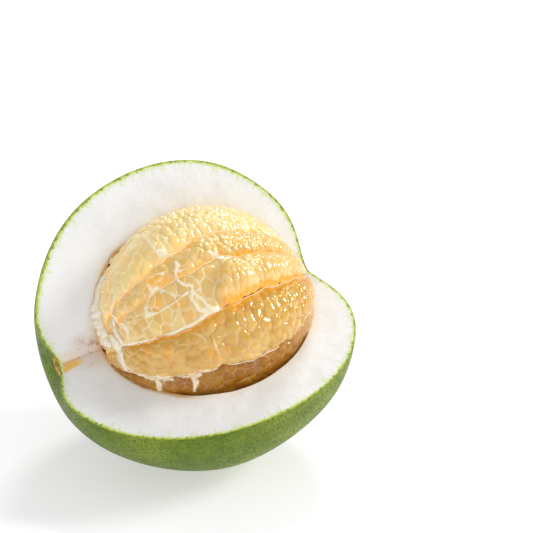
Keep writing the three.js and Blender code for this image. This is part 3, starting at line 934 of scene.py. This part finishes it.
def fleshFinish(name, crown, honey, deep, rim, patches, light, lines, gloss):
    wet = Finish(name, Subsurface_Weight=0.7, Subsurface_Scale=0.0025, IOR=1.4, Emission_Strength=light,
                 Subsurface_Radius=(1.0, 0.85, 0.5), Coat_Weight=gloss, Coat_Roughness=0.07, Coat_IOR=1.65)
    crease, tone, torn, glow, web = map(wet.attribute, ("crease", "tone", "torn", "glow", "web"))
    soft = wet.noise(160.0, 3.0)
    base = wet.blend((tone * 0.7 + soft * 0.6).between(0.2, 1.1), honey, crown)
    paleLine = wet.noise(85.0, 2.0).between(0.42, 0.58)
    # painted shade: the creases between untorn sacs are darkened towards the deep colour
    base = wet.blend(crease * (1 - torn) * (0.45 - paleLine * 0.35), base, deep)
    # pale outlines along some creases: the sacs' thin walls, with painted reflection of light inside the sacs
    base = wet.blend(crease.between(0.55, 0.95) * (1 - torn) * paleLine * 0.45, base, rim)
    pool = wet.noise(105.0, 2.0).between(0.54, 0.66)
    # random patches of deep colour, plus painted glow and shade where the glow attribute is set: low in the
    # seams, in the gold pools and on the sides
    base = wet.blend((pool * patches + glow * 0.9).clamp(), base, deep)
    base = wet.blend(crease.between(0.1, 0.8) * torn * 0.4, base, rim)
    patchy = wet.noise(140.0, 3.0)
    if name == "juiceSacsShadedAmber":
        # its blossom end catches the light and is paler
        alongX = wet.add("ShaderNodeSeparateXYZ", {}, {"Vector": wet.place()}, out="X")
        base = wet.blend(alongX.between(0.022, 0.052) * 0.6, base, flesh["paleEnd"])
    film = crease.between(0.6, 0.97) * (torn * patchy.between(0.42, 0.62) + paleLine * 0.2).clamp() * lines
    base = wet.blend(film, base, flesh["drySkin"])
    veil = wet.noise(75.0, 4.0, 0.7).between(0.54, 0.7) * torn * 0.5
    laid = (web + (patchy - 0.5) * 0.7 * web.between(0.0, 0.2)).between(0.22, 0.75)
    film = (veil + laid).clamp()
    folds = laid.between(0.55, 0.95) * (0.6 + patchy.between(0.35, 0.6) * 0.4)
    base = wet.blend(film * 0.5 + folds * 0.42, base, flesh["film"])
    fine = wet.noise(700.0, 2.0)
    shine = (glow + crease * (1 - torn) * 0.4 + pool * 0.2) * (1 - film) * 0.5
    lit = wet.blend(shine, flesh["faintGlow"], flesh["goldGlow"])
    return wet.set(Base_Color=base, Emission_Color=lit, Normal=wet.bump(fine, 0.0002, 0.12),
                   Roughness=0.14 + film * 0.3)


def surfaceFrame(shape, theta, t):
    step = 0.01
    here = segmentSurface(shape, theta, t)
    alongSeam = segmentSurface(shape, theta + step, t) - segmentSurface(shape, theta - step, t)
    acrossSeam = segmentSurface(shape, theta, t + step) - segmentSurface(shape, theta, t - step)
    out = np.cross(alongSeam, acrossSeam)
    return here, out / np.linalg.norm(out, axis=-1, keepdims=True)


def tornShare(name, theta, t):
    degrees = np.degrees(theta)
    if name == "segment_03":
        return smoothStep(84, 92, degrees) * (1 - smoothStep(150, 165, degrees))
    if name == "segment_04":
        return 0.32 * smoothStep(60, 100, degrees)
    if name == "segment_02":
        return 0.65 * smoothStep(84, 104, degrees)
    if name == "segment_05":
        return 0.4 + 0.0 * theta
    return 0.5 * smoothStep(92, 118, degrees)


def makeFlesh():
    looks = {name: fleshFinish(name, **look) for name, look in sacLooks.items()}
    worn = ("juiceSacsPale", "juiceSacsHoney", "juiceSacsHoney", "juiceSacsGold", "juiceSacsShadedAmber")
    for number, shape in enumerate(segmentShapes):
        name = shape["node"]
        sacs = np.array(sowSacs(shape, 40 + number))
        points, faces, layers = segmentCore(shape, sacs)
        pulp = meshFrom("pulp" + name[-2:], points, faces)
        storeValues(pulp.data, **layers)
        finishPiece(pulp, "deep_flesh" if name == "segment_05" else "flesh", [name], looks[worn[number]])
        print("segment", number + 1, "sacs", len(sacs))


makeFlesh()
print("flesh made")


membrane = {
    "seams": {"septum_1": 16.8, "septum_2": 35.0, "septum_3": 64.1, "septum_4": 95.6},
    "thickness": 0.7,
    "tones": ((0.96, 0.78, 0.44), (0.98, 0.90, 0.70)),
    "glow": 0.16,
    "steps": 150,
    "deep": 6,
    "tip": 0.16,
    "coreRadius": 4.8,
    "ragged": 1.3,
    "drop": {"septum_1": 3.2, "septum_2": 3.6, "septum_3": 4.4, "septum_4": 2.6},
}


def membraneFinish():
    film = Finish("membrane", Roughness=0.4, Emission_Strength=membrane["glow"],
                  Emission_Color=(1.0, 0.62, 0.2))
    soft = film.noise(180.0, 4.0)
    tone = film.blend(soft.between(0.3, 0.7), *membrane["tones"])
    return film.set(Base_Color=tone, Normal=film.bump(film.noise(600.0, 3.0), 0.0003, 0.5))


def makeMembranes():
    look = membraneFinish()
    for name, degrees in membrane["seams"].items():
        steps, deep = membrane["steps"], membrane["deep"]
        thetas = np.linspace(membrane["tip"], math.pi - membrane["tip"], steps)
        psis = seamAngle(degrees, thetas)
        radial, side = radialWay(psis), radialWay(psis + math.pi / 2)
        reach = fleshReach(thetas)
        ragged = np.array([noise.noise(Vector((k * 0.16, degrees, 0))) for k in range(steps)])
        ruffle = np.array([noise.noise(Vector((k * 0.09, degrees, 5))) for k in range(steps)])
        outer = (reach - membrane["drop"][name] - membrane["ragged"] * ragged) * np.sin(thetas)
        inner = membrane["coreRadius"]
        points = []
        for face in (-1, 1):
            for i in range(steps):
                for share in np.linspace(0, 1, deep + 1):
                    v = inner + (outer[i] - inner) * share
                    thick = membrane["thickness"] * (1 - 0.6 * share ** 3)
                    shift = face * thick / 2 + 0.5 * ruffle[i] * share ** 4
                    u = reach[i] * math.cos(thetas[i])
                    points.append(fleshMiddle + u * coreAlong + v * radial[i] + shift * side[i])
        faces = slabFaces(steps, deep + 1, (0, steps - 1))
        piece = meshFrom(name.replace("septum_", "membrane"), points, faces)
        finishPiece(piece, "membrane", [name], look)


makeMembranes()
print("membranes made")

# membrane that stands off the flesh: strands, and lumps at the stem end (places as above)
standing = {
    "strands": [
        (0.28, [(101.4, 18.9), (91.1, 17.5), (86.3, 16.6), (81.9, 16.8), (76.5, 17.2), (69.6, 17.1),
                (60, 17)]),
        (0.3, [(111, 8), (111.6, 15.1), (107.7, 17.5), (104.4, 21.6)]),
        (0.3, [(105, 26.8), (105.5, 30.2), (108.1, 33.4), (108.7, 38.5), (106.7, 42.9)]),
        (0.3, [(140.4, 20.8), (133.4, 21.2), (125.3, 23.5), (123.7, 24.5)]),
        (0.3, [(86.7, 31.6), (85.7, 35.4), (83.4, 37.6), (79, 36), (72, 37)]),
        (0.28, [(104.5, 80.4), (104.1, 85.2), (105.9, 93.6)]),
        (0.3, [(150, 94), (136.5, 96.4), (119.3, 94.3), (102.9, 92.3), (86.5, 94.9), (65.4, 95.4)]),
    ],
    "lumps": [
        (2.2, 1.3, [(138, -15.5), (146, -15), (152, -13), (157, -10)]),
        (3.6, 2.6, [(152, -14), (158, -9), (163, 2), (165, 14)]),
        (3.0, 2.2, [(160, 4), (165, 22), (166, 42), (163, 56)]),
        (2.2, 1.4, [(160, 40), (158, 58), (157, 74)]),
        (1.6, 0.9, [(158, 66), (159, 80), (157, 93)]),
        (1.3, 0.9, [(152, 30), (155, 45), (153, 60)]),
        (0.9, 0.9, [(128, -18), (130, -17.5), (132, -18.5)]),
        (0.7, 0.8, [(136, -18.5), (138, -18)]),
        (0.9, 0.9, [(142, -18), (144, -17), (146, -18.5)]),
    ],
    "step": 0.5,
    "stretch": (50, 35),
    "settle": 6,
    "threads": {"Thickness": 1.0, "Wobble": 0.0016, "Seed": 3.0},
    "lumpSides": 10,
    "tones": ((0.96, 0.83, 0.60), (0.98, 0.92, 0.80)),
}


def fleshTop(theta, psi):
    # place on the flesh's surface, and the way out of it
    for shape in segmentShapes:
        low, high = map(float, bothSeams(shape, np.array(theta)))
        if low <= psi <= high or shape["node"] == "segment_05":
            break
    if psi < low:
        shape = segmentShapes[0]
        low, high = map(float, bothSeams(shape, np.array(theta)))
    t = np.clip((psi - low) / (high - low) * 2 - 1, -1, 1)
    here, out = surfaceFrame(shape, np.array(theta), np.array(t * 0.96))
    offset = here - fleshMiddle
    along = (offset @ coreAlong) * coreAlong
    return fleshMiddle + along + np.linalg.norm(offset - along) * radialWay(psi), out


def webPath(places):
    # evenly spaced places along a thread, lying on the flesh
    marks = np.radians(np.array(places, float))
    legs = np.linalg.norm(np.diff(marks * standing["stretch"], axis=0), axis=1)
    reach = np.concatenate([[0], np.cumsum(legs)])
    steps = np.arange(0, reach[-1], standing["step"])
    theta, psi = np.interp(steps, reach, marks[:, 0]), np.interp(steps, reach, marks[:, 1])
    found = [fleshTop(a, b) for a, b in zip(theta, psi)]
    line = np.array([place for place, _ in found])
    ways = np.array([way for _, way in found])
    for _ in range(standing["settle"]):
        line[1:-1] = (line[:-2] + line[1:-1] * 2 + line[2:]) / 4
    return line, ways


def threadTree():
    # round threads of uneven thickness along the edges of a mesh
    tree = bpy.data.node_groups.new("membraneThreads", "GeometryNodeTree")
    for label, way, kind in (("Geometry", "INPUT", "Geometry"), ("Thickness", "INPUT", "Float"),
                             ("Wobble", "INPUT", "Float"), ("Seed", "INPUT", "Float"),
                             ("Finish", "INPUT", "Material"), ("Geometry", "OUTPUT", "Geometry")):
        tree.interface.new_socket(label, in_out=way, socket_type="NodeSocket" + kind)

    def add(kind, settings=None, values=None):
        node = tree.nodes.new(kind)
        for key, value in (settings or {}).items():
            setattr(node, key, value)
        for key, value in (values or {}).items():
            if hasattr(value, "is_output"):
                tree.links.new(value, node.inputs[key])
            else:
                node.inputs[key].default_value = value
        return node

    start = add("NodeGroupInput")
    line = add("GeometryNodeMeshToCurve", values={"Mesh": start.outputs["Geometry"]})
    stray = add("ShaderNodeTexNoise", {"noise_dimensions": "4D"},
                {"Scale": 300.0, "W": start.outputs["Seed"]})
    centred = add("ShaderNodeVectorMath", {"operation": "SUBTRACT"},
                  {0: stray.outputs["Color"], 1: (0.5, 0.5, 0.5)})
    shift = add("ShaderNodeVectorMath", {"operation": "SCALE"},
                {0: centred.outputs[0], "Scale": start.outputs["Wobble"]})
    moved = add("GeometryNodeSetPosition", values={"Geometry": line.outputs[0], "Offset": shift.outputs[0]})
    thick = add("GeometryNodeInputNamedAttribute", {"data_type": "FLOAT"}, {"Name": "thickness"})
    uneven = add("ShaderNodeTexNoise", {"noise_dimensions": "4D"},
                 {"Scale": 220.0, "W": start.outputs["Seed"]})
    swell = add("ShaderNodeMath", {"operation": "MULTIPLY_ADD"}, {0: uneven.outputs[0], 1: 1.7, 2: -0.25})
    part = add("ShaderNodeMath", {"operation": "MULTIPLY"}, {0: thick.outputs[0], 1: swell.outputs[0]})
    size = add("ShaderNodeMath", {"operation": "MULTIPLY"},
               {0: part.outputs[0], 1: start.outputs["Thickness"]})
    ring = add("GeometryNodeCurvePrimitiveCircle", values={"Resolution": 7, "Radius": 1.0})
    tube = add("GeometryNodeCurveToMesh", values={"Curve": moved.outputs[0], "Profile Curve": ring.outputs[0],
                                                  "Scale": size.outputs[0], "Fill Caps": True})
    soft = add("GeometryNodeSetShadeSmooth", values={"Geometry": tube.outputs[0]})
    real = add("GeometryNodeRealizeInstances", values={"Geometry": soft.outputs[0]})
    dressed = add("GeometryNodeSetMaterial",
                  values={"Geometry": real.outputs[0], "Material": start.outputs["Finish"]})
    end = add("NodeGroupOutput")
    tree.links.new(dressed.outputs[0], end.inputs[0])
    return tree


def setInputs(modifier, **values):
    for item in modifier.node_group.interface.items_tree:
        if item.in_out == "INPUT" and item.name in values:
            modifier[item.identifier] = values[item.name]


def makeThreads(look):
    points, edges, thickness = [], [], []
    for width, places in standing["strands"]:
        line, ways = webPath(places)
        start = len(points)
        steps = np.arange(len(line))
        taper = np.minimum(1, np.minimum(steps + 1, len(line) - steps) / 5)
        points += [tuple(p) for p in (line + ways * 0.7) * mm]
        thickness += list(width * taper * mm)
        edges += [(start + k, start + k + 1) for k in range(len(line) - 1)]
    mesh = bpy.data.meshes.new("threadLines")
    mesh.from_pydata(points, edges, [])
    storeValues(mesh, thickness=thickness)
    carrier = showObject("threadLines", mesh)
    modifier = carrier.modifiers.new("threads", "NODES")
    modifier.node_group = threadTree()
    setInputs(modifier, Finish=look, **standing["threads"])
    bpy.context.view_layer.update()
    ready = carrier.evaluated_get(bpy.context.evaluated_depsgraph_get())
    made = bpy.data.meshes.new_from_object(ready)
    carrier.modifiers.remove(modifier)
    bpy.data.objects.remove(carrier)
    finishPiece(showObject("membraneThreads", made), "membrane", [], look)


def makeLumps(look):
    # rolled lumps of membrane, thin at their edges
    points, faces, sides = [], [], standing["lumpSides"]
    for number, (half, thick, places) in enumerate(standing["lumps"]):
        line, ways = webPath(places)
        count = len(line)
        run = np.gradient(line, axis=0)
        across = np.cross(run, ways)
        across /= np.linalg.norm(across, axis=1, keepdims=True)
        share = np.arange(count) / (count - 1)
        blunt = np.sin(np.pi * np.clip(share, 0.02, 0.98)) ** 0.35
        start = len(points)
        for i in range(count):
            ragged = 1 + 0.4 * noise.noise(Vector((i * 0.13, number, 2.0)))
            for k in range(sides):
                angle = 2 * math.pi * k / sides
                knob = Vector((i * 0.14, 1.1 * math.cos(angle), 1.1 * math.sin(angle) + number * 3.0))
                wide = half * blunt[i] * ragged * (1 + 0.45 * noise.noise(knob))
                lump = thick * blunt[i] * (1 + 0.7 * noise.noise(knob * 1.6))
                high = 0.5 + lump * math.sin(angle)
                points.append(line[i] + ways[i] * high + across[i] * wide * math.cos(angle))
        points += [line[0] + ways[0] * 0.6, line[-1] + ways[-1] * 0.6]
        faces += tubeFaces(count, sides, start)
    piece = meshFrom("membraneLumps", points, faces)
    turnOut(piece)
    finishPiece(piece, "membrane", [], look)


def filmFinish():
    film = Finish("tornMembrane", Roughness=0.3, Coat_Weight=0.4, Coat_Roughness=0.1)
    soft = film.noise(260.0, 4.0)
    tone = film.blend(soft.between(0.3, 0.7), *standing["tones"])
    return film.set(Base_Color=tone, Normal=film.bump(film.noise(700.0, 3.0), 0.0003, 0.4))


tornLook = filmFinish()
makeThreads(tornLook)
makeLumps(tornLook)
print("torn membrane made")


scar = {
    "radius": 4.6,
    "depth": 3.5,
    "proud": 0.6,
    "sides": 40,
    "rings": 6,
    "tones": ((0.45, 0.22, 0.06), (0.80, 0.47, 0.12)),
    "dark": (0.30, 0.15, 0.06),
}


def makeScar():
    woody = Finish("stemScar", Roughness=0.85)
    grain = woody.noise(700.0, 4.0)
    blotch = woody.noise(240.0, 3.0)
    tone = woody.blend(grain.between(0.3, 0.7), *scar["tones"])
    tone = woody.blend(blotch.between(0.5, 0.7), tone, scar["dark"])
    look = woody.set(Base_Color=tone, Normal=woody.bump(grain, 0.0006, 0.6))
    start, end = math.radians(fruit["cutEnd"] + 0.5), math.radians(360 + fruit["cutStart"] - 0.5)
    top = float(fruitRadius(np.array(math.pi), np.array(0.0)))
    points, sides, rings = [], scar["sides"], scar["rings"]
    for layer in (0, 1):
        for r in range(rings + 1):
            for k in range(sides + 1):
                angle = start + (end - start) * k / sides
                uneven = 1 + 0.14 * math.sin(5 * angle) + 0.05 * math.sin(11 * angle)
                radius = scar["radius"] * uneven * r / rings
                rough = noise.noise(Vector((radius, angle * 2, 1)))
                lip = 0.35 * math.sin(r / rings * math.pi) + 0.25 * rough
                u = -(top + scar["proud"] + lip) if layer else -(top - scar["depth"])
                points.append(fruitMiddle + u * coreAlong + radius * radialWay(angle))
    piece = meshFrom("stemScar", points, slabFaces(rings + 1, sides + 1, (rings,)), sharpAngle=50)
    turnOut(piece, weld=0.01)
    finishPiece(piece, "stem_scar", ["stem_scar"], look)


makeScar()
print("stem scar made")


def dressHidden():
    # the segments that stay under the rind keep their plain shapes
    pulp = Finish("hiddenPulp", Roughness=0.25, Subsurface_Weight=0.6, Subsurface_Scale=0.005, IOR=1.36,
                  Subsurface_Radius=(1.0, 0.45, 0.12))
    tone = pulp.blend(pulp.noise(120.0, 4.0).between(0.3, 0.7), (0.72, 0.36, 0.07), (0.86, 0.52, 0.14))
    look = pulp.set(Base_Color=tone, Normal=pulp.bump(pulp.noise(500.0, 3.0), 0.0004, 0.4))
    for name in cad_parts:
        if name.startswith("segment_") and int(name[-2:]) > flesh["showing"]:
            carried = bpy.data.objects.get(name)
            if carried:
                carried.data.materials.clear()
                carried.data.materials.append(look)


dressHidden()
print("hidden segments dressed")
